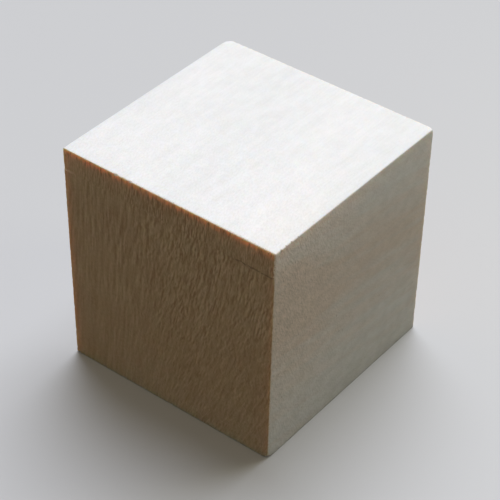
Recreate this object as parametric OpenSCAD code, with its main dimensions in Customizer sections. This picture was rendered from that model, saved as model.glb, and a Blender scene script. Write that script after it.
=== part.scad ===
// A plain wooden cube: one block, crosscut from a length of nearly square stock and lightly sanded.
// The grain runs along X, so the two X faces are end grain and the other four are long grain.
// Left and right are as seen by someone who faces the near end, which is at -X.
// Origin on the underside, below the centre of the top, +Z up, millimetres.

/* [Block] */
// Edge length of the cube
edge = 40; // [20:1:80]
// How far the left-hand side leans in at its foot, because the stock isn't quite square
side_lean = 1; // [0:0.1:2]

/* [Sanded edges] */
// Radius on the four edges of the stock, which run along the grain
long_edge_r = 0.3; // [0.15:0.05:2]
// Radius on the edges round the two sawn ends
end_edge_r = 0.35; // [0.15:0.05:2]
// Depth that each knocked corner has lost, measured along the cube's diagonal
knocked_depth = 0.5; // [0.3:0.05:1.5]

/* [Saw cut] */
// Height of the strip at the top of the near end that a second pass of the saw cut
second_pass_h = 4.2; // [2:0.2:10]
// How far the second pass drifts out of the first pass's plane, over the width of the end
second_pass_drift = 0.16; // [0.04:0.02:0.6]
// How far the strip's lower edge drops from the left-hand edge of the end to the right-hand one
second_pass_drop = 0.75; // [0:0.05:2]

/* [Hidden] */
$fn = 96;
half = edge / 2;
wood_colour = [0.87, 0.80, 0.69];
lean_angle = atan(side_lean / edge);
// Outlines of the block as [across, up], from the lower left corner round: seen along the grain, and from the side
stock_outline = [[-half, 0], [half - side_lean, 0], [half, edge], [-half, edge]];
side_outline = [[-half, 0], [half, 0], [half, edge], [-half, edge]];
// Outline from above of the right-hand side and its two corners, running on past the left-hand side
plan_outline = [[-half, -half], [half, -half], [half, edge], [-half, edge]];
// The first pass lies half the drift inside the nominal end, so that the two passes cross mid-width
first_pass_x = -half + second_pass_drift / 2;
drift_angle = atan(second_pass_drift / edge);
drop_angle = atan(second_pass_drop / edge);
// The knocked corners: both far ones at the top, and the right-hand one at the foot of the near end
knocked_corners = [[half, half, edge], [half, -half, edge], [-half, -half, 0]];
knock_ball_r = edge * sqrt(3) - knocked_depth;

function unit(v) = v / norm(v);

// A convex outline with round corners: straight sides between the points where the corners' arcs touch them
module rounded_outline(corners, r) {
    last = len(corners) - 1;
    to_next = [for (i = [0 : last]) unit(corners[i == last ? 0 : i + 1] - corners[i])];
    to_previous = [for (i = [0 : last]) -to_next[i == 0 ? last : i - 1]];
    // Twice the sine and twice the cosine of half the angle at each corner
    sines = [for (i = [0 : last]) norm(to_next[i] - to_previous[i])];
    cosines = [for (i = [0 : last]) norm(to_next[i] + to_previous[i])];
    polygon([
        for (i = [0 : last], way = [to_previous[i], to_next[i]])
            corners[i] + way * r * cosines[i] / sines[i]
    ]);
    for (i = [0 : last])
        translate(corners[i] + unit(to_next[i] + to_previous[i]) * 2 * r / sines[i])
            circle(r = r);
}

// A long bar with an outline's section, along Z
module sanded_bar(corners, edge_r) {
    linear_extrude(height = 3 * edge, center = true)
        rounded_outline(corners, edge_r);
}

// A bar for each direction in which edges were sanded; the upright edges on the left lean with their side
module sanded_block() {
    intersection() {
        rotate([90, 0, 90])
            sanded_bar(stock_outline, long_edge_r);
        rotate([90, 0, 0])
            sanded_bar(side_outline, end_edge_r);
        sanded_bar(plan_outline, end_edge_r);
        translate([0, half, edge])
            rotate([-lean_angle, 0, 0])
                translate([0, -half, 0])
                    mirror([0, 1, 0])
                        sanded_bar(plan_outline, end_edge_r);
    }
}

// Everything below the strip at the top of the near end
module below_strip() {
    translate([0, 0, edge - second_pass_h])
        rotate([drop_angle, 0, 0])
            translate([0, 0, -edge])
                cube(2 * edge * [2, 2, 1], center = true);
}

// Everything outside the first pass's plane
module outside_first() {
    translate([first_pass_x - edge, -edge, -half])
        cube(2 * edge * [0.5, 1, 1]);
}

// Everything outside the second pass's plane, which drifts in from the right-hand edge to the left-hand one
module outside_second() {
    translate([-half, -half, 0])
        rotate([0, 0, -drift_angle])
            translate([-edge, -half, -half])
                cube(2 * edge * [0.5, 1, 1]);
}

// What the saw takes off the near end: whatever is outside both planes, and the rest of each pass on its own side
// of the strip's lower edge
module sawn_off() {
    intersection() {
        outside_first();
        outside_second();
    }
    intersection() {
        outside_first();
        below_strip();
    }
    difference() {
        outside_second();
        below_strip();
    }
}

// A ball about the opposite corner, which leaves a knocked corner as a slightly domed cap
module knock_limit(corner) {
    translate([-corner.x, -corner.y, edge - corner.z])
        sphere(r = knock_ball_r);
}

module wooden_cube() {
    color(wood_colour)
        intersection() {
            difference() {
                sanded_block();
                sawn_off();
            }
            intersection_for (corner = knocked_corners)
                knock_limit(corner);
        }
}

wooden_cube();
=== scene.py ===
# %% [markdown]
# # A wooden cube
# The object is one small block of pale, bare wood. It was crosscut from a length of square stock, and its
# edges were eased with a little sandpaper. So it has two kinds of face: two sawn ends, where the open fibres
# drink in the light and look brown, and four long-grain faces, pale and silky. On a shape this plain, what
# makes it wood is the small stuff: saw marks, growth bands, pores, worn edges, and light that soaks in where
# the block is thin.

# %% [markdown]
# ## The frame
# The block's size and place come from its construction model, which is loaded first and is never moved. We
# read the block's size from its box. The block's sizes below are in millimetres, which suit a part this
# small, and its mesh is scaled to Blender's metres in one place.

# %% Load the frame
import math

import bpy
from mathutils import Matrix, Vector


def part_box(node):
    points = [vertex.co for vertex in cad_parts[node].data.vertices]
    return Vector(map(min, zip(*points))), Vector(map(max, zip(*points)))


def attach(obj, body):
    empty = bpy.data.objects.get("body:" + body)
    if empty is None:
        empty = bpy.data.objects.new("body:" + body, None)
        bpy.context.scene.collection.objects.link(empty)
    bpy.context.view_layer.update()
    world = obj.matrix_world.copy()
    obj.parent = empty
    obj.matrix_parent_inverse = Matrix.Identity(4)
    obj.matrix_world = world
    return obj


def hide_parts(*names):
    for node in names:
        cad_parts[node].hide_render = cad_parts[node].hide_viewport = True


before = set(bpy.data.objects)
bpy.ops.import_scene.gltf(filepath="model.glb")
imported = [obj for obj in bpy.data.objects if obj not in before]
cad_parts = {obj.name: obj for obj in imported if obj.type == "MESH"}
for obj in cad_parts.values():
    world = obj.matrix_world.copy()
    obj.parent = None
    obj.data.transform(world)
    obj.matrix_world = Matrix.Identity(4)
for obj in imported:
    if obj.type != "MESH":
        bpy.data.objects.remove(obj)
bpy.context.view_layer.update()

MM_PER_M = 1000.0
node_low, node_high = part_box("wooden_cube")
EDGE = (node_high.z - node_low.z) * MM_PER_M
HALF = EDGE / 2
print(f"The block is {EDGE:.2f} mm on an edge")

# %% [markdown]
# ## Formulas as nodes
# The shape and the finishes are small formulas, and a node tree is a good home for a formula, because anyone
# can open it in Blender and turn its dials. Placing every Math node by hand makes long code, so Wire lets us
# write a + b in Python and adds the Math node for it. It works in shape trees and in shader trees alike.


# %% Nodes and wires
def feed(socket, value):
    """Links a wire to an input socket, or sets a plain value on it."""
    if isinstance(value, Wire):
        value.tree.links.new(value.socket, socket)
    else:
        socket.default_value = value


def add(tree, kind, settings=None, inputs=None):
    """Adds a node, sets its settings and feeds its inputs, which are named by socket name or number."""
    node = tree.nodes.new(kind)
    for name, value in (settings or {}).items():
        setattr(node, name, value)
    for name, value in (inputs or {}).items():
        feed(node.inputs[name], value)
    return node


class Wire:
    """A value on its way through a node tree. Arithmetic on it adds Math nodes to the same tree."""

    def __init__(self, socket):
        self.socket = socket
        self.tree = socket.id_data

    def math(self, operation, *others):
        inputs = dict(enumerate((self, *others)))
        return made(self.tree, "ShaderNodeMath", {"operation": operation}, inputs)

    def __add__(self, other):
        return self.math("ADD", other)

    def __sub__(self, other):
        return self.math("SUBTRACT", other)

    def __rsub__(self, other):
        return self.math("MULTIPLY_ADD", -1.0, other)

    def __mul__(self, other):
        return self.math("MULTIPLY", other)

    def __truediv__(self, other):
        return self.math("DIVIDE", other)

    def __abs__(self):
        return self.math("ABSOLUTE")

    def ramp(self, low, high):
        """0 up to low and 1 from high on, with a smooth rise between them, or a fall if low is the larger."""
        settings = {"interpolation_type": "SMOOTHSTEP"}
        inputs = {"Value": self, "From Min": low, "From Max": high}
        return made(self.tree, "ShaderNodeMapRange", settings, inputs)

    __radd__ = __add__
    __rmul__ = __mul__


def made(tree, kind, settings=None, inputs=None, output=0):
    """Adds a node as add does, and returns one of its outputs as a wire."""
    return Wire(add(tree, kind, settings, inputs).outputs[output])


# %% Helpers for vectors, mixes and noise
NOISE_MIDDLE = 0.5
NOISE_REACH = 0.25


def split(vector):
    """The three parts of a vector wire."""
    node = add(vector.tree, "ShaderNodeSeparateXYZ", {}, {"Vector": vector})
    return [Wire(part) for part in node.outputs]


def join(x, y, z):
    """A vector wire from three parts, of which the first is a wire."""
    return made(x.tree, "ShaderNodeCombineXYZ", {}, {"X": x, "Y": y, "Z": z})


def vector_math(operation, first, second=(0.0, 0.0, 0.0), result="Vector"):
    """One Vector Math node."""
    node = add(first.tree, "ShaderNodeVectorMath", {"operation": operation}, {0: first})
    feed(node.inputs["Scale" if operation == "SCALE" else 1], second)
    return Wire(node.outputs[result])


def mix(share, first, second):
    """The first value where share is 0, the second where it is 1."""
    inputs = {0: share, 2: first, 3: second}
    return made(share.tree, "ShaderNodeMix", {"data_type": "FLOAT"}, inputs)


def noise(place, detail=1.0):
    """Smooth noise from 0 to 1 whose lumps are about one unit of place across."""
    inputs = {"Vector": place, "Scale": 1.0, "Detail": detail}
    return made(place.tree, "ShaderNodeTexNoise", {}, inputs)


def swing(value):
    """A value from 0 to 1 as a swing to either side of 0."""
    return value - NOISE_MIDDLE


def spread(value, reach=NOISE_REACH):
    """Noise stretched to run from 0 to 1. What lies further from its middle than the reach is cut off."""
    return value.ramp(NOISE_MIDDLE - reach, NOISE_MIDDLE + reach)


def weigh(weights, **layers):
    """The sum of some layers, each times the weight of the same name."""
    return sum(layer * weights[name] for name, layer in layers.items())


def new_group(name, kind, inputs, outputs):
    """An empty node group with named sockets, its inputs as wires, and its output node."""
    group = bpy.data.node_groups.new(name, kind)
    for title, (socket_type, default) in inputs.items():
        socket = group.interface.new_socket(title, in_out="INPUT", socket_type="NodeSocket" + socket_type)
        if default is not None:
            socket.default_value = default
    for title, socket_type in outputs.items():
        group.interface.new_socket(title, in_out="OUTPUT", socket_type="NodeSocket" + socket_type)
    taken = add(group, "NodeGroupInput")
    given = add(group, "NodeGroupOutput")
    return group, {title: Wire(taken.outputs[title]) for title in inputs}, given


def place_group(tree, group, inputs):
    """Puts a shader group into a material and returns its outputs as wires."""
    node = add(tree, "ShaderNodeGroup", {"node_tree": group}, inputs)
    return {output.name: Wire(output) for output in node.outputs}


# %% [markdown]
# ## What the saw leaves
# The near end was sawn in two passes. The first left fine strokes: longer and nearly upright at the left,
# shorter and swept along a curve further on, and crossed at the lower right. Among them run the lines of the
# feed, evenly spaced, which wander and fade. All these marks come in patches, and they bite most in the upper
# middle. The narrow strip along the top belongs to the second pass. Its strokes are finer, and it lies at a
# slight angle to the rest, so that a small step shows where they meet. The far end has strokes of the first
# kind alone. All are written once, as a rule, because the shape needs them as relief and the finish as
# colour, in the same places.

# %% Where a point lies on a sawn end
SECOND_PASS_H = 4.2
SECOND_PASS_DRIFT = 0.16
SECOND_PASS_DROP = 0.75
SIDE_LEAN = 1.0
STEP_BLUR = 0.05
STEP_TEAR = 0.35
STEP_TEAR_LENGTH = 0.8
END_SEED = 40.0


def strip_edge(y):
    """Height of the lower edge of the second pass, which is torn and drops a little from left to right."""
    torn = swing(noise(join(y / STEP_TEAR_LENGTH, 0.0, 0.0))) * STEP_TEAR
    return y * (SECOND_PASS_DROP / EDGE) + torn + (EDGE - SECOND_PASS_H)


def left_side(z):
    """Where the block's left-hand side lies at a height, in mm along Y. It leans in towards its foot."""
    return z * (SIDE_LEAN / EDGE) + (HALF - SIDE_LEAN)


def end_plane(place):
    """Where a point lies on its own end: mm from the left, mm up, and a seed for that end."""
    x, y, z = split(place)
    side = x.math("SIGN")
    return y * side + HALF, z, side * END_SEED


def above_step(place):
    """How far above the strip's lower edge a point lies, in mm, and 1 on the near half of the block."""
    x, y, z = split(place)
    return z - strip_edge(y), x.math("LESS_THAN", 0.0)


def second_pass(place):
    """1 on the strip that the second pass of the saw cut, 0 on the rest of the block."""
    height, near = above_step(place)
    return height.ramp(-STEP_BLUR, STEP_BLUR) * near


# %% Strokes, feed lines and hairlines
SWEEP_GROWS = (6.0, 24.0)
SWEEP_AT_LEFT = 0.2
SWEEP_SLOPE = 0.24
SWEEP_CURVE = 0.003
LINE_BEND = {"width": 1.6, "height": 1.9}
LINE_FADE = {"width": 0.9, "height": 2.4}
LINE_FADE_SEED = 3.0
LINE_SHOWS = (0.25, 0.6)
HAIR_WIDTH = 0.06


def lumps(plane, seed, width, height, detail=1.0):
    """Noise on a face, in lumps of a width and a height in mm."""
    across, up, number = plane
    return noise(join(across / width, up / height, number + seed), detail)


def strokes(plane, seed, lean, width, length, detail=1.0):
    """Noise drawn out into strokes. lean is in degrees to the right of upright, the sizes are in mm."""
    across, up, number = plane
    turn = math.radians(lean)
    beside = across * math.cos(turn) - up * math.sin(turn)
    along = across * math.sin(turn) + up * math.cos(turn)
    return lumps((beside, along, number), seed, width, length, detail)


def swept_plane(place):
    """As end_plane, but mm from the left follow the saw's curved sweep, which grows towards the right."""
    across, up, seed = end_plane(place)
    height = up - HALF
    sweep = height * SWEEP_SLOPE - height * height * SWEEP_CURVE
    growth = across.ramp(*SWEEP_GROWS) * (1 - SWEEP_AT_LEFT) + SWEEP_AT_LEFT
    return across - sweep * growth, up, seed


def feed_lines(plane, seed, period, wander):
    """Lines at an even period in mm, which wander by some of it and fade in and out along their length."""
    across, _, _ = plane
    bend = swing(lumps(plane, seed, **LINE_BEND))
    fade = lumps(plane, seed + LINE_FADE_SEED, **LINE_FADE).ramp(*LINE_SHOWS)
    wave = ((across / period + bend * wander) * math.tau).math("SINE")
    return wave * fade


def hairlines(plane, seed, lean, width, length):
    """Thin lines at a lean: the places where drawn-out noise passes its middle value."""
    return abs(swing(strokes(plane, seed, lean, width, length))).ramp(HAIR_WIDTH, 0.0)


# %% The saw marks, as a rule
# Where the marks change, in mm from the left or up
SHORTER = (10.0, 24.0)
CLOSER = (10.0, 18.0)
CROSSED = (24.0, 34.0)
CROSSED_BELOW = (30.0, 14.0)
BITE_GROWS = (2.0, 20.0)
BITE_EASES = (26.0, 36.0)
BITE_RISES = (0.0, 38.0)
# How much each of them counts
CROSSED_SHARE = 0.5
LINE_SHARE = 0.1
RIDGE_REACH = 0.3
BITE_AT_LEFT = 0.5
BITE_EASING = 0.15
BITE_RISE = 0.85
BITE_AT_FOOT = 0.33
PATCH_SWING = 0.9
PATCH_LEAST = 0.55


def first_pass_marks(plane, swept, detail):
    """The first pass: strokes that get shorter and are crossed further on, and the lines of the feed."""
    across, up, _ = plane
    long_strokes = strokes(swept, seed=0.0, lean=0.0, width=0.5, length=4.0, detail=detail)
    short_strokes = strokes(swept, seed=7.0, lean=0.0, width=0.4, length=2.0, detail=detail)
    crossing = strokes(plane, seed=13.0, lean=-12.0, width=0.4, length=2.0, detail=detail)
    wide_lines = feed_lines(swept, seed=41.0, period=1.25, wander=0.9)
    close_lines = feed_lines(swept, seed=47.0, period=1.08, wander=2.2)
    marks = mix(across.ramp(*SHORTER), long_strokes, short_strokes)
    marks = mix(across.ramp(*CROSSED) * up.ramp(*CROSSED_BELOW) * CROSSED_SHARE, marks, crossing)
    return marks + mix(across.ramp(*CLOSER), wide_lines, close_lines) * LINE_SHARE


def saw_bite(plane):
    """How hard the saw bit: in patches, most in the upper middle and least at the foot and the left."""
    across, up, _ = plane
    sideways = across.ramp(*BITE_GROWS) * (1 - BITE_AT_LEFT) - across.ramp(*BITE_EASES) * BITE_EASING
    upward = up.ramp(*BITE_RISES) * BITE_RISE + BITE_AT_FOOT
    patches = spread(lumps(plane, seed=53.0, width=3.0, height=5.0)) * PATCH_SWING + PATCH_LEAST
    return (sideways + BITE_AT_LEFT) * upward * patches


def saw_marks(place, detail):
    """High on the ridges between the saw's strokes and low in the grooves, about a middle of 0.5."""
    plane = end_plane(place)
    first = first_pass_marks(plane, swept_plane(place), detail)
    finer = strokes(plane, seed=19.0, lean=3.0, width=0.28, length=1.6, detail=detail)
    ridges = spread(mix(second_pass(place), first, finer), RIDGE_REACH)
    return swing(ridges) * saw_bite(plane) + NOISE_MIDDLE


# %% [markdown]
# ## Nicks
# A few splinters have broken out of the edges near the sawn end. Each nick is a place, a reach and a depth,
# all in mm. Like the saw marks, they are used twice: the shape is pulled in there, and the long grain round
# it is darkened with painted shade.

# %% Nicks, as a rule
NICKS = [
    ((-18.6, -20.0, 39.8), 0.42, 0.26),
    ((-17.4, -20.0, 40.0), 0.36, 0.22),
    ((-16.2, -20.0, 39.9), 0.38, 0.22),
    ((-14.6, -20.0, 40.0), 0.32, 0.18),
    ((-20.0, 9.5, 40.0), 0.45, 0.26),
    ((-20.0, 6.8, 40.0), 0.40, 0.22),
    ((-20.0, -20.0, 28.5), 0.50, 0.18),
]


def nick_depth(place):
    """How deep the nicks are at a point, in mm."""
    depths = []
    for centre, reach, depth in NICKS:
        away = vector_math("DISTANCE", place, centre, "Value")
        depths.append(away.ramp(reach, 0.0) * depth)
    return sum(depths)


# %% [markdown]
# ## Growth bands and fibres
# A tree grows in rings, and this block was cut some way out from the heart, nearly along the trunk. On the
# long faces the rings show as broad, soft bands that slope a little, and on the ends as faint arcs. A picture
# wrapped round the block would break at every edge, so the figure is a solid pattern, worked out from the
# point itself. The rest is noise drawn out along X: long streaks that slope with the bands, and thin fibres,
# which show as specks where the saw cut across them. A rounder noise makes the mottle, the cloudy light and
# dark of wood that nobody has varnished.

# %% The wood's figure, shared by both finishes
HEART_Y = 60.0
HEART_Z = -20.0
WARM_RING = 92.0
GRAIN_SLOPE = math.tan(math.radians(10.0))
WANDERING = {"length": 22.0, "width": 8.0}
STREAKS = {"length": 16.0, "width": 1.7, "seed": 90.0}
FIBRES = {"length": 3.5, "width": 0.3}
MOTTLE = {"length": 1.9, "width": 1.5, "seed": 50.0}
BAND_CHANGE = 11.0
BAND_CHANGE_LENGTH = 30.0
BAND_SEED = 4.0
FAINTEST_BAND = 0.4


def drawn_out(x, y, z, length, width, seed=0.0):
    """Noise with a length along the grain and a width across it, both in mm."""
    return noise(join(x / length, y / width, z / width + seed), detail=2.0)


def wood_figure_group():
    """A shader group: growth bands, streaks, fibres and mottle from a place in mm."""
    inputs = {"Place": ("Vector", None), "Ring width": ("Float", 16.0), "Wander": ("Float", 4.0)}
    outputs = {"Band": "Float", "Streak": "Float", "Fibre": "Float", "Mottle": "Float"}
    group, given, out = new_group("wood figure", "ShaderNodeTree", inputs, outputs)
    x, y, z = split(given["Place"])
    level = z + x * GRAIN_SLOPE
    from_heart_y = y - HEART_Y
    from_heart_z = level - HEART_Z
    wander = swing(drawn_out(x, y, z, **WANDERING)) * given["Wander"]
    ring = (from_heart_y * from_heart_y + from_heart_z * from_heart_z).math("SQRT") + wander
    wave = ((ring - WARM_RING) / given["Ring width"] * math.tau).math("COSINE") * 0.5 + 0.5
    change = spread(noise(join(ring / BAND_CHANGE, x / BAND_CHANGE_LENGTH, BAND_SEED)))
    feed(out.inputs["Band"], wave * (change * (1 - FAINTEST_BAND) + FAINTEST_BAND))
    feed(out.inputs["Streak"], spread(drawn_out(x, y, level, **STREAKS)))
    feed(out.inputs["Fibre"], spread(drawn_out(x, y, z, **FIBRES)))
    feed(out.inputs["Mottle"], spread(drawn_out(x, y, z, **MOTTLE)))
    return group


wood_figure = wood_figure_group()
print("Wood figure group:", len(wood_figure.nodes), "nodes")

# %% [markdown]
# ## Pores and flecks
# Close up, pale wood is peppered with the cut mouths of its vessels. On a long face they show as short
# flecks, on an end as dots. A Voronoi texture scatters one point in each cell, and its random colour lets us
# keep only a share of them and give each its own size, so that they don't look like a grid.

# %% Pores, shared by both finishes
PORE_EDGE = (1.0, 0.3)
SMALLEST_PORE = 0.5
PALEST_PORE = 0.4


def pores_group():
    """A shader group: up to 1 on scattered pores. Across and Up are in mm, and so are the pores' cells."""
    inputs = {
        "Across": ("Float", 0.0),
        "Up": ("Float", 0.0),
        "Seed": ("Float", 0.0),
        "Cell length": ("Float", 2.0),
        "Cell width": ("Float", 1.0),
        "Size": ("Float", 0.15),
        "Share": ("Float", 0.3),
    }
    group, given, out = new_group("pores", "ShaderNodeTree", inputs, {"Pores": "Float"})
    cell_across = given["Across"] / given["Cell length"]
    cell_up = given["Up"] / given["Cell width"]
    cell_place = join(cell_across, cell_up, given["Seed"])
    cells = add(group, "ShaderNodeTexVoronoi", {}, {"Vector": cell_place, "Scale": 1.0})
    chance, growth, _ = split(Wire(cells.outputs["Color"]))
    kept = chance.math("LESS_THAN", given["Share"])
    near = Wire(cells.outputs["Distance"]) / (given["Size"] * (growth + SMALLEST_PORE))
    depth = growth * (1 - PALEST_PORE) + PALEST_PORE
    feed(out.inputs["Pores"], near.ramp(*PORE_EDGE) * kept * depth)
    return group


pores = pores_group()
print("Pores group:", len(pores.nodes), "nodes")

# %% [markdown]
# ## Sandpaper
# The faces were rubbed with fine paper at a slant to the grain. It left long scratches and short dashes that
# hardly show as colour but break up the light, and it raised a nap of cut fibres that makes the surface look
# grainy. The rule that makes the saw's strokes makes all three, at other leans and lengths.

# %% Sanding marks, shared by both finishes
SANDING_REACH = 0.22


def sanding_group():
    """A shader group: scratches, dashes and nap, which all lean to the left. Across and Up are in mm."""
    inputs = {"Across": ("Float", 0.0), "Up": ("Float", 0.0), "Seed": ("Float", 0.0)}
    outputs = {"Scratches": "Float", "Dashes": "Float", "Nap": "Float"}
    group, given, out = new_group("sanding", "ShaderNodeTree", inputs, outputs)
    plane = (given["Across"], given["Up"], given["Seed"])
    marks = {
        "Scratches": strokes(plane, seed=0.0, lean=-52.0, width=0.28, length=2.6),
        "Dashes": strokes(plane, seed=5.0, lean=-22.0, width=0.28, length=1.4),
        "Nap": strokes(plane, seed=9.0, lean=-45.0, width=0.28, length=0.56, detail=2.0),
    }
    for name, mark in marks.items():
        feed(out.inputs[name], spread(mark, SANDING_REACH))
    return group


sanding = sanding_group()
print("Sanding group:", len(sanding.nodes), "nodes")

# %% [markdown]
# ## Helpers for the finishes
# Both finishes read the point in millimetres, mix colours and end in one Principled BSDF. Wood isn't opaque:
# light goes in, scatters and comes out a little further on, red furthest. That is Subsurface, and it softens
# the thin rims of the sawn ends. Values that are the same all over are set on the shader's own sockets.


# %% Colour mixing and the wood shader
def blend(share, first, second):
    """A colour mix: the first colour where share is 0, the second where it is 1."""
    inputs = {0: share, 6: first, 7: second}
    return made(share.tree, "ShaderNodeMix", {"data_type": "RGBA"}, inputs, output=2)


def tint(colour, change, shares):
    """A colour made lighter or darker by a change, of which red, green and blue each take their share."""
    return vector_math("MULTIPLY", colour, join(*(change * share + 1.0 for share in shares)))


def point_in_mm(tree):
    """The point that is being coloured, in millimetres in the block's own frame."""
    return vector_math("SCALE", made(tree, "ShaderNodeTexCoord", output="Object"), MM_PER_M)


def new_finish(name):
    """A new material with an empty node tree."""
    finish = bpy.data.materials.new(name)
    finish.use_nodes = True
    finish.node_tree.nodes.clear()
    return finish, finish.node_tree


def wood_shader(tree, colour, roughness, height, bump_depth, soak, soak_radius):
    """The Principled BSDF of both finishes. soak is the share of light that goes in, soak_radius is in mm."""
    relief = {"Strength": 1.0, "Distance": bump_depth / MM_PER_M, "Height": height}
    inputs = {
        "Base Color": colour,
        "Roughness": roughness,
        "Normal": made(tree, "ShaderNodeBump", {}, relief),
        "IOR": 1.45,
        "Subsurface Weight": soak,
        "Subsurface Radius": soak_radius,
        "Subsurface Scale": 1.0 / MM_PER_M,
    }
    shader = made(tree, "ShaderNodeBsdfPrincipled", {}, inputs)
    add(tree, "ShaderNodeOutputMaterial", {}, {"Surface": shader})


# %% [markdown]
# ## Long grain
# The pale faces have three layers: the bands and streaks, which swing between a cool cream and a warmer,
# pinkish tan, the fibres and the mottle, which are lighter and darker in turn, and the marks on the surface:
# nap, scratches, dashes and pores. Those marks belong to a face and not to the wood inside, so they read the
# face_plane attribute, which the block's shape tree writes further down: millimetres along and across the
# face, and a number for the face itself. Towards the near end, where the block was handled and sawn, the
# marks are stronger. Above the foot the wood is painted warmer, most at the near end, and the foot is left
# cooler. This is painted light, standing in for the cool light that bounces up from the floor. On the sides,
# painted light and shade make each face lighter towards its top and darker towards its foot, less so at the
# near end, whose top is painted lighter still. The top takes the strongest and coolest light, so its marks,
# mottle, pores and warmth are painted fainter, as that light washes them out, and its bands are painted
# paler rather than warmer. Its marks also lie closer to the grain. At the very end of the grain, light that
# comes through the thin edge is painted in as a peach tint. The tint is ragged, with brown spots where
# fibres tore.

# %% Colours and dials of the long grain
CREAM = (0.86, 0.848, 0.81, 1.0)
WARM_TAN = (0.79, 0.69, 0.595, 1.0)
PORE_BROWN = (0.40, 0.31, 0.23, 1.0)
# Painted light: the tint of light through the thin end of the grain, also the pale fringe on the ends
PAINTED_LIGHT_PEACH = (0.95, 0.83, 0.66, 1.0)
TORN_BROWN = (0.40, 0.22, 0.10, 1.0)
MARK_TINT = (1.0, 1.0, 1.14)
# Painted light: the wood above the foot is warmed, the foot left cool as in light bounced from the floor
PAINTED_WARM_LIGHT_TINT = (0.035, -0.005, -0.045)
# A face's number is one of these, and below 0 if the face looks the other way
END_NUMBER = 100.0
SIDE_NUMBER = 200.0
TOP_NUMBER = 300.0
# Where the finish changes, in mm along X, Y or Z
NEAR_END = (12.0, -18.0)
OFF_FOOT = (1.0, 13.0)
PAINTED_LIGHT_ABOVE = (30.0, 39.0)
WARM_LIGHT_BESIDE = (-8.0, -20.0)
# How much each layer counts, and how much less on the top
MARKS = {"nap": 0.085, "scratches": 0.08, "dashes": 0.14}
GRAIN = {"fibre": 0.03, "mottle": 0.09, "streak": 0.045}
WARMTH = {"band": 0.9, "streak": 0.5, "near_end": 0.32, "off_foot": 0.06}
TOP_TONE = {"band": 0.05, "near_end": 0.02}
# Painted light and shade on the sides: lighter towards the top, darker towards the foot
SIDE_TONE = {"rubbed": 0.1, "dull_foot": 0.1}
PORE_SHARE = 0.7
# The top's fainter marks, mottle, pores and warmth are painted, for its strong light that washes them out
LESS_ON_TOP = {"marks": 0.5, "scratches": 0.6, "mottle": 0.6, "warmth": 0.9, "pores": 0.7}
ROUGH_AT_FAR_END = 0.55
ROUGH_GAIN_NEAR = 0.85
ROUGH_AT_FOOT = 0.5
ROUGH_GAIN_UP = 0.65
HEIGHT_LIGHT_LEVEL = 0.6
HEIGHT_LIGHT_LESS_NEAR = 0.6
TOP_DARKER = 0.008
TOP_TURN = math.radians(66.0)
WARM_LIGHT_ON_TOP = 0.5
LONG_PORES = {"Cell length": 0.9, "Cell width": 1.8, "Size": 0.13, "Share": 0.3}
LONG_MATT = 0.75
LONG_SHEEN = {"fibre": -0.1, "pores": 0.1}
LONG_HEIGHT = {"marks": 0.5, "fibre": 0.3, "pores": -1.0}
# The ragged edge at the end of the grain, with its painted light, and the painted shade in the nicks
EDGE_DEPTH = 0.45
EDGE_TOOTH = 0.32
EDGE_REACH = 0.2
EDGE_LEAST = 0.5
EDGE_SHARE = 0.85
TORN_TEETH = (0.5, 1.0)
TORN_BLUR = 0.15
TORN_SHARE = 0.5
NICK_SHOWS = (0.02, 0.18)
NICK_SHADE_SHARE = 0.8


# %% The long-grain finish
def turned_on_top(along, across, on_top):
    """The place on a face, turned on the top, where the marks lie closer to the grain."""
    turned_along = along * math.cos(TOP_TURN) + across * math.sin(TOP_TURN)
    turned_across = across * math.cos(TOP_TURN) - along * math.sin(TOP_TURN)
    return mix(on_top, along, turned_along), mix(on_top, across, turned_across)


def ragged_end(colour, x, across, face):
    """Paints the light that comes through the very end of the grain as a peach tint, with brown spots where
    fibres tore.
    """
    from_end = HALF - abs(x)
    tooth = spread(noise(join(across / EDGE_TOOTH, face, x.math("SIGN")), detail=2.0), EDGE_REACH)
    peach = from_end.ramp((tooth + EDGE_LEAST) * EDGE_DEPTH, 0.0)
    torn = (tooth.ramp(*TORN_TEETH) * EDGE_DEPTH - from_end).ramp(0.0, TORN_BLUR)
    colour = blend(peach * EDGE_SHARE, colour, PAINTED_LIGHT_PEACH)
    return blend(torn * TORN_SHARE, colour, TORN_BROWN)


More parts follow.
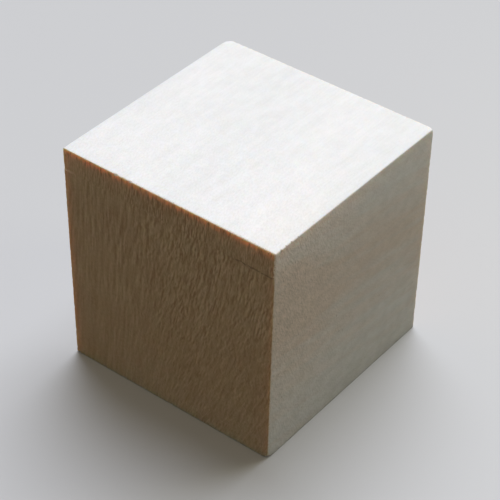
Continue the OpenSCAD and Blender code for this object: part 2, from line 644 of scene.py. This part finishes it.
def long_grain_finish():
    """Pale, sanded wood for the four faces along the grain."""
    finish, tree = new_finish("long grain")
    place = point_in_mm(tree)
    x, y, z = split(place)
    figure = place_group(tree, wood_figure, {"Place": place})
    attribute = {"attribute_name": "face_plane"}
    along, across, face = split(made(tree, "ShaderNodeAttribute", attribute, output="Vector"))
    on_top = face.ramp(SIDE_NUMBER, TOP_NUMBER)
    on_side = 1 - on_top
    kept = {layer: 1 - on_top * loss for layer, loss in LESS_ON_TOP.items()}
    mark_along, mark_across = turned_on_top(along, across, on_top)
    on_face = {"Across": mark_along, "Up": mark_across, "Seed": face}
    sanded = place_group(tree, sanding, on_face)
    open_pores = place_group(tree, pores, on_face | LONG_PORES)["Pores"]

    near_end = x.ramp(*NEAR_END)
    off_foot = z.ramp(*OFF_FOOT)
    rough = (near_end * ROUGH_GAIN_NEAR + ROUGH_AT_FAR_END) * (z * (ROUGH_GAIN_UP / EDGE) + ROUGH_AT_FOOT)
    rough = rough * kept["marks"]
    scratches = swing(sanded["Scratches"]) * kept["scratches"]
    dashes = swing(sanded["Dashes"]) * near_end * on_side
    marks = weigh(MARKS, nap=swing(sanded["Nap"]), scratches=scratches, dashes=dashes)
    streak = swing(figure["Streak"])
    mottle = swing(figure["Mottle"]) * kept["mottle"]
    grain = weigh(GRAIN, fibre=swing(figure["Fibre"]), mottle=mottle, streak=streak)
    # On the top the bands are painted paler rather than warmer, as the strong light washes out their warmth
    top_tone = weigh(TOP_TONE, band=swing(figure["Band"]), near_end=swing(near_end)) - TOP_DARKER
    # Painted light and shade: lighter above, darker at the foot, less so at the near end
    dull_foot = (z / EDGE - HEIGHT_LIGHT_LEVEL) * (1 - near_end * HEIGHT_LIGHT_LESS_NEAR)
    side_tone = weigh(SIDE_TONE, rubbed=near_end * z.ramp(*PAINTED_LIGHT_ABOVE), dull_foot=dull_foot)
    texture = marks * rough + grain + top_tone * on_top + side_tone * on_side
    near_warmth = near_end * off_foot
    warmth = weigh(WARMTH, band=figure["Band"], streak=streak, near_end=near_warmth, off_foot=off_foot)
    # Painted warm light towards the near end, above the foot
    painted_warm_light = near_warmth * mix(on_top, 1.0, y.ramp(*WARM_LIGHT_BESIDE) * WARM_LIGHT_ON_TOP)

    colour = blend(warmth * kept["warmth"], CREAM, WARM_TAN)
    colour = tint(colour, texture, MARK_TINT)
    colour = tint(colour, painted_warm_light, PAINTED_WARM_LIGHT_TINT)
    colour = blend(open_pores * rough * kept["pores"] * PORE_SHARE, colour, PORE_BROWN)
    colour = ragged_end(colour, x, across, face)
    # Painted shade in the nicks
    colour = blend(nick_depth(place).ramp(*NICK_SHOWS) * NICK_SHADE_SHARE, colour, PORE_BROWN)
    roughness = weigh(LONG_SHEEN, fibre=figure["Fibre"], pores=open_pores) + LONG_MATT
    raised = (sanded["Nap"] + sanded["Dashes"]) * rough
    height = weigh(LONG_HEIGHT, marks=raised, fibre=figure["Fibre"], pores=open_pores)
    wood_shader(tree, colour, roughness, height, bump_depth=0.018, soak=0.3, soak_radius=(2.4, 1.6, 1.0))
    return finish


long_grain = long_grain_finish()
print("Long grain:", len(long_grain.node_tree.nodes), "nodes")

# %% [markdown]
# ## End grain
# On the sawn ends we look into the open fibres, and much of the light never comes back, so they are darker
# and browner. The saw's grooves are darker still, partly from the fibre dust they hold and partly from
# painted shade, and each ridge is painted lighter on one flank and darker on the other, as painted light and
# shade. The foot is tinted cooler and a little lighter by painted light that bounces up from the floor, and
# the upper left corner is painted paler, as painted light. Along the rim the wood is thin between two faces,
# and light comes through it orange. Subsurface gives part of that glow, and the rest is painted, in clumps of
# small teeth that stand square to the edge, under a pale fringe of painted light along the top. The step of
# the second pass shows as a line of painted light where it looks up and as a line of painted shadow where it
# overhangs.

# %% The painted rim glow and the step's painted light and shadow
RIM_DEPTH = 2.5
RIM_TOOTH = 0.36
RIM_TOOTH_LENGTH = 1.6
RIM_TOOTH_REACH = 0.22
RIM_CLUMP = 1.3
RIM_CLUMP_SEED = 9.0
RIM_CLUMP_REACH = 0.18
RIM_WAY_IN = {"tooth": 0.4, "clump": 0.4}
RIM_LEAST_WAY_IN = 0.2
RIM_CLUMP_STRENGTH = 0.6
RIM_LEAST_STRENGTH = 0.55
RIM_AT_TOP = 1.0
RIM_AT_SIDES = 0.05
GAP_TEETH = (0.4, 0.0)
GAP_INWARD = (RIM_DEPTH * 0.8, 0.2)
STEP_LINE = 0.32
STEP_PALE_AT = (2.5, 1.0)
STEP_DARK_AT = (31.0, 34.0)
STEP_BREAK = {"width": 0.6, "height": 0.3}
STEP_BREAK_SHOWS = (0.35, 0.55)


def painted_rim_glow(place):
    """Painted light through the thin rim: up to about 1 on the teeth along an end's top rim, less at its
    sides, and below 0 in the gaps.
    """
    x, y, z = split(place)
    side = x.math("SIGN")
    rims = (
        (EDGE - z, y, 0.0, RIM_AT_TOP),
        (left_side(z) - y, z, 20.0, RIM_AT_SIDES),
        (y + HALF, z, 30.0, RIM_AT_SIDES),
    )
    glows = []
    for inward, along, seed, strength in rims:
        tooth_place = join(along / RIM_TOOTH, inward / RIM_TOOTH_LENGTH, side + seed)
        tooth = spread(noise(tooth_place, detail=2.0), RIM_TOOTH_REACH)
        clump = spread(noise(join(along / RIM_CLUMP, side + seed, RIM_CLUMP_SEED)), RIM_CLUMP_REACH)
        way_in = weigh(RIM_WAY_IN, tooth=tooth, clump=clump) + RIM_LEAST_WAY_IN
        lit = inward.ramp(way_in * RIM_DEPTH, 0.0) * (clump * RIM_CLUMP_STRENGTH + RIM_LEAST_STRENGTH)
        gap = tooth.ramp(*GAP_TEETH) * inward.ramp(*GAP_INWARD)
        glows.append((lit - gap) * strength)
    return sum(glows)


def step_lines(place):
    """The painted light and the painted shadow of the line along the step."""
    height, near = above_step(place)
    across, _, _ = end_plane(place)
    line = abs(height).ramp(STEP_LINE, 0.0) * near
    broken = noise(join(across / STEP_BREAK["width"], height / STEP_BREAK["height"], 0.0))
    dark = line * broken.ramp(*STEP_BREAK_SHOWS) * across.ramp(*STEP_DARK_AT)
    return line * across.ramp(*STEP_PALE_AT), dark


# %% Colours and dials of the end grain
END_BROWN = (0.552, 0.378, 0.218, 1.0)
END_RIDGE = (0.715, 0.53, 0.315, 1.0)
# Grooves: partly the colour of fibre dust, partly painted shade
GROOVE_BROWN = (0.405, 0.25, 0.13, 1.0)
# Painted glow of the light that comes through the thin rim
PAINTED_GLOW_ORANGE = (0.92, 0.57, 0.29, 1.0)
# Painted light and painted shadow along the step
STEP_PAINTED_LIGHT = (0.84, 0.66, 0.45, 1.0)
STEP_PAINTED_SHADOW = (0.20, 0.12, 0.06, 1.0)
# Painted light bounced up from the floor: the foot a little lighter and cooler
PAINTED_BOUNCE_TINT = (0.07, 0.12, 0.22)
# How much each kind of mark counts
# slope is painted light and shade on the flanks of the saw's ridges
SAWN = {"marks": 1.1, "slope": 0.78, "hairlines": 0.35}
COARSE = {"drag": 0.3, "band": 0.1, "strip": -0.1, "pale_corner": 0.6}
FINE = {"fibre": 0.25, "nap": 0.4, "dots": -0.35}
PAINTED_GLOW_SHARE = 0.9
PAINTED_FRINGE_SHARE = 0.4
STEP_LIGHT_SHARE = 0.7
STEP_SHADOW_SHARE = 0.9
# Where they change, in mm from the left or up
HAIRLINES_GROW = (4.0, 24.0)
PALE_BESIDE = (12.0, 0.0)
PALE_ABOVE = (30.0, 39.0)
BOUNCE_BELOW = (12.0, 0.0)
BOUNCE_BESIDE = (2.0, 14.0)
FRINGE_DEPTH = 0.45
RIDGE_HALF_WIDTH = 0.24
END_PORES = {"Cell length": 0.42, "Cell width": 0.42, "Size": 0.15, "Share": 0.5}
END_MATT = 0.88
END_SHEEN = 0.1
END_HEIGHT = {"marks": 0.6, "fibre": 0.2, "nap": 0.2, "dots": -0.3}


# %% The end-grain finish
def end_grain_finish():
    """Brown, saw-marked wood for the two ends."""
    finish, tree = new_finish("end grain")
    place = point_in_mm(tree)
    figure = place_group(tree, wood_figure, {"Place": place})
    across, up, seed = end_plane(place)
    swept = swept_plane(place)
    marks = saw_marks(place, detail=2.0)
    # The marks a little to one side: marks - beside paints light and shade on the ridges' flanks
    beside = saw_marks(vector_math("ADD", place, (0.0, RIDGE_HALF_WIDTH, 0.0)), detail=2.0)
    scratches = hairlines(swept, seed=25.0, lean=8.0, width=0.8, length=6.0)
    cuts = hairlines(swept, seed=33.0, lean=-7.0, width=0.6, length=3.0)
    drag = spread(strokes(swept, seed=29.0, lean=0.0, width=1.6, length=7.0))
    on_end = {"Across": across, "Up": up, "Seed": seed}
    dots = place_group(tree, pores, on_end | END_PORES)["Pores"]
    nap = place_group(tree, sanding, on_end)["Nap"]

    thin_lines = (scratches - cuts) * across.ramp(*HAIRLINES_GROW)
    sawn = weigh(SAWN, marks=swing(marks), slope=marks - beside, hairlines=thin_lines)
    # Painted light on the upper left corner
    corner = across.ramp(*PALE_BESIDE) * up.ramp(*PALE_ABOVE)
    band = swing(figure["Band"])
    coarse = weigh(COARSE, drag=swing(drag), band=band, strip=second_pass(place), pale_corner=corner)
    fine = weigh(FINE, fibre=swing(figure["Fibre"]), nap=swing(nap), dots=dots)
    tone = sawn + coarse + fine
    # Painted bounce light at the foot
    painted_bounce = up.ramp(*BOUNCE_BELOW) * across.ramp(*BOUNCE_BESIDE)
    painted_glow = painted_rim_glow(place)
    # Painted light: a pale fringe along the top rim of the end
    fringe = (EDGE - up).ramp(FRINGE_DEPTH, 0.0)
    painted_step_light, painted_step_shadow = step_lines(place)

    colour = blend(tone, END_BROWN, END_RIDGE)
    colour = blend(tone * -1.0, colour, GROOVE_BROWN)
    colour = tint(colour, painted_bounce, PAINTED_BOUNCE_TINT)
    # The rim's painted glow, with the gaps between its teeth painted darker
    colour = blend(painted_glow * PAINTED_GLOW_SHARE, colour, PAINTED_GLOW_ORANGE)
    colour = blend(painted_glow * -PAINTED_GLOW_SHARE, colour, GROOVE_BROWN)
    colour = blend(fringe * PAINTED_FRINGE_SHARE, colour, PAINTED_LIGHT_PEACH)
    # The step's painted light and painted shadow
    colour = blend(painted_step_light * STEP_LIGHT_SHARE, colour, STEP_PAINTED_LIGHT)
    colour = blend(painted_step_shadow * STEP_SHADOW_SHARE, colour, STEP_PAINTED_SHADOW)
    roughness = END_MATT - marks * END_SHEEN
    height = weigh(END_HEIGHT, marks=marks, fibre=figure["Fibre"], nap=nap, dots=dots)
    wood_shader(tree, colour, roughness, height, bump_depth=0.04, soak=0.7, soak_radius=(3.2, 1.4, 0.5))
    return finish


end_grain = end_grain_finish()
print("End grain:", len(end_grain.node_tree.nodes), "nodes")

# %% [markdown]
# ## The block
# A plain cube with a Bevel would have edges as even as a machined part. This block follows a rule instead: a
# grid of rows, crowded towards the edges, is rounded, sawn and knocked about in turn. Geometry Nodes suit
# that, because each step is a formula on every point. The steps below add Set Position nodes to the tree.


# %% Spacing the rows
def row_place(share, rows, rounding_rows, half, zone, crowd_ends):
    """Where a row lies, in mm from the middle: over the flat, then by equal angles round the edge."""
    far = abs(share)
    flat_share = 1 - rounding_rows * 2 / (rows - 1)
    on_flat = (far / flat_share).math("MINIMUM", 1.0)
    if crowd_ends:
        on_flat = (on_flat * (math.pi / 2)).math("SINE")
    past_flat = ((far - flat_share) / (1 - flat_share)).math("MAXIMUM", 0.0)
    place = on_flat * (half - zone) + (past_flat * (math.pi / 4)).math("TANGENT") * zone
    return place * share.math("SIGN")


def move_points(mesh, position):
    """A Set Position node on a mesh wire."""
    inputs = {"Geometry": mesh, "Position": position}
    return made(mesh.tree, "GeometryNodeSetPosition", {}, inputs)


def current_place(tree):
    """The points as the steps before have left them."""
    return made(tree, "GeometryNodeInputPosition")


def space_rows(mesh, size):
    """Spreads the grid's rows over the block, centred on the origin."""
    along, across, up = split(current_place(mesh.tree))
    spacing = (size["Rounding rows"], size["Half"], size["Rounding zone"])
    x = row_place(along, size["Rows along"], *spacing, crowd_ends=True)
    y = row_place(across, size["Rows across"], *spacing, crowd_ends=False)
    z = row_place(up, size["Rows across"], *spacing, crowd_ends=False)
    return move_points(mesh, join(x, y, z))


def gather_at_step(mesh, size):
    """Draws the rows near the strip's lower edge towards it, so that the step is crisp."""
    x, y, z = split(current_place(mesh.tree))
    step = strip_edge(y) - size["Half"]
    away = z - step
    closeness = (abs(away) / size["Step gather"]).math("MINIMUM", 1.0).math("SQRT")
    return move_points(mesh, join(x, y, step + away * closeness))


# %% [markdown]
# ## Worn edges
# Each point is split into the nearest point of a smaller, inner box and the way out from it. Setting the way
# out to one length gives a rounded box. The length is the edge's radius, and it may change from place to
# place: it wanders slowly along every edge, as hand sanding does, and at the sawn ends it is larger, and
# ragged where fibres tore.

# %% Rounding the edges
HAND_LENGTH = 4.0
HAND_SWING = 0.8
HAND_LEAST = 0.6
TEAR_LENGTH = 0.45
TEAR_SHOWS = (0.45, 0.75)
END_ZONE = (HALF - 1.2, HALF - 0.4)
END_EXTRA = 0.3


def edge_radius(place, size):
    """The radius of the nearest edge, in mm, from place to place."""
    x, _, _ = split(place)
    hand = noise(vector_math("SCALE", place, 1.0 / HAND_LENGTH), detail=2.0)
    torn = noise(vector_math("SCALE", place, 1.0 / TEAR_LENGTH)).ramp(*TEAR_SHOWS)
    at_end = abs(x).ramp(*END_ZONE)
    sanded = (hand * HAND_SWING + HAND_LEAST) * (at_end * END_EXTRA + 1.0)
    return size["Edge radius"] * sanded + torn * at_end * size["Torn depth"]


def round_edges(mesh, size):
    """Rounds the block's edges and corners."""
    place = current_place(mesh.tree)
    radius = edge_radius(place, size)
    inner = size["Half"] - radius
    core = vector_math("MINIMUM", vector_math("MAXIMUM", place, inner * -1.0), inner)
    outward = vector_math("NORMALIZE", vector_math("SUBTRACT", place, core))
    return move_points(mesh, vector_math("ADD", core, vector_math("SCALE", outward, radius)))


# %% [markdown]
# ## The leaning side, the two saw passes and the knocked corners
# The stock wasn't quite square: its left-hand side leans in towards the foot, so each level is squeezed a
# little more than the one above. The saw trims whatever stands past its plane, so a sawn end is the larger of
# two values: where the point is, and where the plane is. The first pass lies half the drift inside, and the
# second bends away from it towards both sides, so the step between them is proud at one side and hollow at
# the other. Three corners took a knock: both far ones at the top, one of them lighter, and the right-hand one
# at the foot of the near end. Each is limited by a ball about the opposite corner, which a smooth minimum
# blends into the faces.

# %% Leaning the side, sawing the ends and knocking the corners
STRIP_SMOOTHER = 0.5
CORNER_TO_CORNER = math.sqrt(3.0)
KNOCKED_CORNERS = (((1.0, 1.0, 1.0), 1.0), ((1.0, -1.0, 1.0), 0.6), ((-1.0, -1.0, -1.0), 1.0))
KNOCK_BLEND = 0.6
BRUISE_LENGTH = 0.7
BRUISE_SWING = 0.4
BRUISE_LEAST = 0.8


def from_underside(place, half):
    """The same point with the origin at the middle of the underside, as the finishes see it."""
    x, y, z = split(place)
    return join(x, y, z + half)


def lean_side(mesh, size):
    """Squeezes the block across the grain, more and more towards the foot, with the right-hand side kept."""
    x, y, z = split(current_place(mesh.tree))
    edge = size["Half"] * 2.0
    from_right = (y + size["Half"]) / edge
    from_top = (size["Half"] - z) / edge
    return move_points(mesh, join(x, y - from_right * from_top * size["Side lean"], z))


def saw_ends(mesh, size):
    """Trims both ends to the saw's planes, with the relief of its strokes."""
    place = current_place(mesh.tree)
    x, y, z = split(place)
    seen_place = from_underside(place, size["Half"])
    on_strip = second_pass(seen_place)
    grooves = 1 - saw_marks(seen_place, detail=1.0)
    relief = grooves * (1 - on_strip * STRIP_SMOOTHER) * size["Saw depth"]
    first_plane = size["Second pass drift"] / 2
    off_middle = y / size["Half"]
    second_plane = (off_middle * abs(off_middle) + 1.0) * first_plane
    near_plane = mix(on_strip, first_plane, second_plane) + relief - size["Half"]
    far_plane = size["Half"] - relief
    trimmed = x.math("MAXIMUM", near_plane).math("MINIMUM", far_plane)
    return move_points(mesh, join(trimmed, y, z))


def knock_corners(mesh, size):
    """Blunts the knocked corners, each by its own share of the depth."""
    for corner, share in KNOCKED_CORNERS:
        place = current_place(mesh.tree)
        opposite = join(*(size["Half"] * -way for way in corner))
        reach = vector_math("SUBTRACT", place, opposite)
        distance = vector_math("LENGTH", reach, result="Value")
        uneven = noise(vector_math("SCALE", place, 1.0 / BRUISE_LENGTH)) * BRUISE_SWING + BRUISE_LEAST
        ball = size["Half"] * (2 * CORNER_TO_CORNER) - size["Knocked depth"] * (uneven * share)
        kept = distance.math("SMOOTH_MIN", ball, KNOCK_BLEND) / distance
        mesh = move_points(mesh, vector_math("ADD", vector_math("SCALE", reach, kept), opposite))
    return mesh


def nick_edges(mesh, size):
    """Pulls the points near each nick a little way in, towards the middle of the block."""
    place = current_place(mesh.tree)
    inward = vector_math("NORMALIZE", vector_math("SCALE", place, -1.0))
    pull = nick_depth(from_underside(place, size["Half"]))
    return move_points(mesh, vector_math("ADD", place, vector_math("SCALE", inward, pull)))


# %% [markdown]
# ## Writing the face plane and the finishes
# Last, the tree moves the block up onto its underside and into metres. It stores face_plane on the corners of
# the faces, because a corner knows which face it belongs to and a point on an edge doesn't. Then it sets the
# finishes: long grain everywhere, and end grain on the faces that look along X and on those well inside an
# end's outline, because the ledge of the step looks up but was sawn too.

# %% The end of the tree
END_FACE_SLOPE = 0.95
LEDGE_INSET = 0.6


def stand_up(mesh, size):
    """Puts the origin at the middle of the underside, and goes over to metres."""
    standing = from_underside(current_place(mesh.tree), size["Half"])
    return move_points(mesh, vector_math("SCALE", standing, 1.0 / MM_PER_M))


def facing(tree):
    """The normal of the face itself, also when it is read on the face's corners or points."""
    normal = made(tree, "GeometryNodeInputNormal", output="Normal")
    settings = {"data_type": "FLOAT_VECTOR", "domain": "FACE"}
    return made(tree, "GeometryNodeFieldOnDomain", settings, {0: normal})


def store_face_plane(mesh):
    """Stores mm along the face, mm across it and a number for the face, on the face's corners."""
    x, y, z = split(vector_math("SCALE", current_place(mesh.tree), MM_PER_M))
    normal_x, normal_y, normal_z = split(facing(mesh.tree))
    is_level = abs(normal_z).math("GREATER_THAN", abs(normal_y))
    number = normal_x * END_NUMBER + normal_y * SIDE_NUMBER + normal_z * TOP_NUMBER
    plane = join(x, mix(is_level, z, y), number.math("ROUND"))
    settings = {"data_type": "FLOAT_VECTOR", "domain": "CORNER"}
    inputs = {"Geometry": mesh, "Name": "face_plane", "Value": plane}
    return made(mesh.tree, "GeometryNodeStoreNamedAttribute", settings, inputs)


def sawn_faces(tree):
    """1 on the faces that look along X, and on those well inside the outline of an end."""
    _, y, z = split(vector_math("SCALE", current_place(tree), MM_PER_M))
    inset = (left_side(z) - y).math("MINIMUM", y + HALF).math("MINIMUM", z).math("MINIMUM", EDGE - z)
    looks_along = abs(split(facing(tree))[0]).math("GREATER_THAN", END_FACE_SLOPE)
    return looks_along.math("MAXIMUM", inset.math("GREATER_THAN", LEDGE_INSET))


def set_finishes(mesh, size):
    """Realizes the mesh and sets its two finishes."""
    is_end = sawn_faces(mesh.tree)
    real = made(mesh.tree, "GeometryNodeRealizeInstances", {}, {"Geometry": mesh})
    inputs = {"Geometry": real, "Material": size["Long grain"]}
    dressed = made(mesh.tree, "GeometryNodeSetMaterial", {}, inputs)
    inputs = {"Geometry": dressed, "Selection": is_end, "Material": size["End grain"]}
    return made(mesh.tree, "GeometryNodeSetMaterial", {}, inputs)


# %% [markdown]
# ## The whole tree
# The tree has an input for each size that someone might change. Rows across is high, because the sawn ends
# carry the relief of the saw's strokes, and Rows along is low, because the long faces are nearly flat along
# the grain. A margin of a few thousandths of a millimetre keeps rounding errors inside the construction
# model's box.

# %% Build the tree
BOX_MARGIN = 0.005
BLOCK_SIZES = {
    "Half": ("Float", HALF - BOX_MARGIN),
    "Rows across": ("Int", 190),
    "Rows along": ("Int", 30),
    "Rounding rows": ("Int", 6),
    "Rounding zone": ("Float", 0.55),
    "Step gather": ("Float", 1.2),
    "Edge radius": ("Float", 0.17),
    "Torn depth": ("Float", 0.21),
    "Side lean": ("Float", SIDE_LEAN),
    "Saw depth": ("Float", 0.045),
    "Second pass drift": ("Float", SECOND_PASS_DRIFT),
    "Knocked depth": ("Float", 0.5),
    "Long grain": ("Material", long_grain),
    "End grain": ("Material", end_grain),
}


def sawn_block_tree():
    """The Geometry Nodes tree of the block. All its sizes are in mm."""
    blank = {name: (kind, None) for name, (kind, _) in BLOCK_SIZES.items()}
    tree, size, out = new_group("sawn block", "GeometryNodeTree", blank, {"Geometry": "Geometry"})
    rows = {"X": size["Rows along"], "Y": size["Rows across"], "Z": size["Rows across"]}
    counts = {f"Vertices {axis}": count for axis, count in rows.items()}
    mesh = made(tree, "GeometryNodeMeshCube", {}, {"Size": (2.0, 2.0, 2.0)} | counts, output="Mesh")
    shaping = (round_edges, lean_side, saw_ends, knock_corners, nick_edges)
    for step in (space_rows, gather_at_step, *shaping, stand_up):
        mesh = step(mesh, size)
    mesh = made(tree, "GeometryNodeSetShadeSmooth", {}, {"Geometry": mesh})
    mesh = set_finishes(store_face_plane(mesh), size)
    feed(out.inputs["Geometry"], mesh)
    return tree


block_tree = sawn_block_tree()
print("Sawn block tree:", len(block_tree.nodes), "nodes")


# %% Make the block
def as_plain_mesh(tree, values, name):
    """Runs a tree on an empty object and returns its result as an object with a plain mesh."""
    maker = bpy.data.objects.new("maker", bpy.data.meshes.new("maker"))
    bpy.context.scene.collection.objects.link(maker)
    modifier = maker.modifiers.new("shape", "NODES")
    modifier.node_group = tree
    for item in tree.interface.items_tree:
        if item.in_out == "INPUT":
            modifier[item.identifier] = values[item.name][1]
    graph = bpy.context.evaluated_depsgraph_get()
    made = maker.evaluated_get(graph)
    mesh = bpy.data.meshes.new_from_object(made, preserve_all_data_layers=True, depsgraph=graph)
    mesh.name = name
    maker.modifiers.remove(modifier)
    bpy.data.objects.remove(maker)
    piece = bpy.data.objects.new(name, mesh)
    bpy.context.scene.collection.objects.link(piece)
    return piece


block = as_plain_mesh(block_tree, BLOCK_SIZES, "wooden_block")
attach(block, "root")
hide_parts("wooden_cube")
block.data.calc_loop_triangles()
print("Block:", len(block.data.loop_triangles), "triangles,", len(block.data.materials), "finishes")

# %% [markdown]
# ## The floor
# The floor is plain and pale. It is darker for light that bounces than for the camera, because a pale floor
# would fill the shaded faces with light, and on them the saw marks and the warm brown depend on the shade.
# Light Path tells the two kinds of ray apart, and the floor keeps the block's shadow for both. Its half
# width is in metres, its drop in millimetres.

# %% Floor and backdrop
FLOOR_HALF = 3.0
FLOOR_DROP = 0.02
FLOOR_SEEN = (0.62, 0.615, 0.60, 1.0)
FLOOR_BOUNCE = (0.082, 0.082, 0.075, 1.0)


def seen_directly(tree):
    """1 for rays that show a surface as it is: to the camera, by a mirror or through glass."""
    path = add(tree, "ShaderNodeLightPath")
    seen = Wire(path.outputs["Is Camera Ray"])
    for kind in ("Is Glossy Ray", "Is Transmission Ray"):
        seen = seen.math("MAXIMUM", Wire(path.outputs[kind]))
    return seen


def floor_finish():
    """A matt floor, pale to the eye and darker for bounced light."""
    finish, tree = new_finish("floor")
    colour = blend(seen_directly(tree), FLOOR_BOUNCE, FLOOR_SEEN)
    shader = made(tree, "ShaderNodeBsdfDiffuse", {}, {"Color": colour})
    add(tree, "ShaderNodeOutputMaterial", {}, {"Surface": shader})
    return finish


corner_ways = ((-1, -1), (1, -1), (1, 1), (-1, 1))
floor_corners = [(x * FLOOR_HALF, y * FLOOR_HALF, -FLOOR_DROP / MM_PER_M) for x, y in corner_ways]
floor_mesh = bpy.data.meshes.new("floor")
floor_mesh.from_pydata(floor_corners, [], [(0, 1, 2, 3)])
floor_mesh.materials.append(floor_finish())
floor = bpy.data.objects.new("floor", floor_mesh)
bpy.context.scene.collection.objects.link(floor)
print("Floor:", FLOOR_HALF * 2, "m across")

# %% [markdown]
# ## Light
# The light is soft and comes from high up behind the block, mostly along the grain, so the top is bright and
# both near faces are in shade. A sun lamp with a wide angle does that evenly over the whole floor. A weak
# soft box stands to the right, close by, so the long-grain face is lighter than the sawn end, and lightest at
# its far end. The world adds a little light from everywhere, and it shows as a plain pale grey. The soft
# box's place and side are in metres.

# %% Lamps and world
KEY_FROM = (0.48, 0.20, 0.855)
KEY_STRENGTH = 2.83
KEY_SPREAD = 50.0
KEY_COLOUR = (0.95, 0.995, 1.127)
SOFT_BOX_PLACE = (0.12, -0.11, 0.10)
SOFT_BOX_SIDE = 0.06
SOFT_BOX_WATTS = 0.0285
SOFT_BOX_COLOUR = (1.02, 1.0, 0.75)
SKY_LIGHT = (0.241, 0.225, 0.188, 1.0)
SKY_SEEN = (0.66, 0.66, 0.65, 1.0)


def hang_lamp(name, kind, place, energy, colour):
    """Adds a lamp at a place, shining at the origin."""
    lamp = bpy.data.lights.new(name, kind)
    lamp.energy = energy
    lamp.color = colour
    lamp_object = bpy.data.objects.new(name, lamp)
    lamp_object.location = place
    lamp_object.rotation_mode = "QUATERNION"
    lamp_object.rotation_quaternion = Vector(place).to_track_quat("Z", "Y")
    lamp_object.visible_camera = False
    bpy.context.scene.collection.objects.link(lamp_object)
    return lamp


key = hang_lamp("key", "SUN", KEY_FROM, KEY_STRENGTH, KEY_COLOUR)
key.angle = math.radians(KEY_SPREAD)
soft_box = hang_lamp("soft box", "AREA", SOFT_BOX_PLACE, SOFT_BOX_WATTS, SOFT_BOX_COLOUR)
soft_box.size = SOFT_BOX_SIDE

world = bpy.data.worlds.new("sky")
world.use_nodes = True
world.node_tree.nodes.clear()
sky_colour = blend(seen_directly(world.node_tree), SKY_LIGHT, SKY_SEEN)
sky = made(world.node_tree, "ShaderNodeBackground", {}, {"Color": sky_colour, "Strength": 1.0})
add(world.node_tree, "ShaderNodeOutputWorld", {}, {"Surface": sky})
bpy.context.scene.world = world
bpy.context.scene.view_settings.view_transform = "Standard"
print("Light: key", KEY_STRENGTH, "W per square metre, soft box", SOFT_BOX_WATTS, "W")

# %% [markdown]
# ## Camera
# The nine edges that can be seen fix where the camera stood: their lines meet in three vanishing points, and
# those give the lens and the turn of the block. The distance and the two offsets are in edges, so that they
# follow the block's size.

# %% Camera
PHOTO_SIDE = 500.0
FOCAL_PIXELS = 1820.5
SENSOR_WIDTH = 36.0
CLIP_START = 0.01
CAMERA_AZIMUTH = math.radians(-53.15)
CAMERA_ELEVATION = math.radians(38.56)
CAMERA_ROLL = math.radians(1.67)
CAMERA_DISTANCE = 7.176
CAMERA_RIGHT = 0.0105
CAMERA_UP = -0.0313

camera_data = bpy.data.cameras.new("camera")
camera_data.sensor_width = SENSOR_WIDTH
camera_data.lens = SENSOR_WIDTH * FOCAL_PIXELS / PHOTO_SIDE
camera_data.clip_start = CLIP_START
camera = bpy.data.objects.new("camera", camera_data)
bpy.context.scene.collection.objects.link(camera)

turned = Matrix.Rotation(CAMERA_AZIMUTH, 3, "Z") @ Matrix.Rotation(math.pi / 2 - CAMERA_ELEVATION, 3, "X")
turned = turned @ Matrix.Rotation(CAMERA_ROLL, 3, "Z")
offset = Vector((CAMERA_RIGHT, CAMERA_UP, CAMERA_DISTANCE)) * EDGE / MM_PER_M
middle = Vector((0.0, 0.0, HALF / MM_PER_M))
camera.matrix_world = Matrix.Translation(middle + turned @ offset) @ turned.to_4x4()
bpy.context.scene.camera = camera
print("Camera:", round(camera_data.lens, 1), "mm lens,", round(offset.length * MM_PER_M), "mm away")
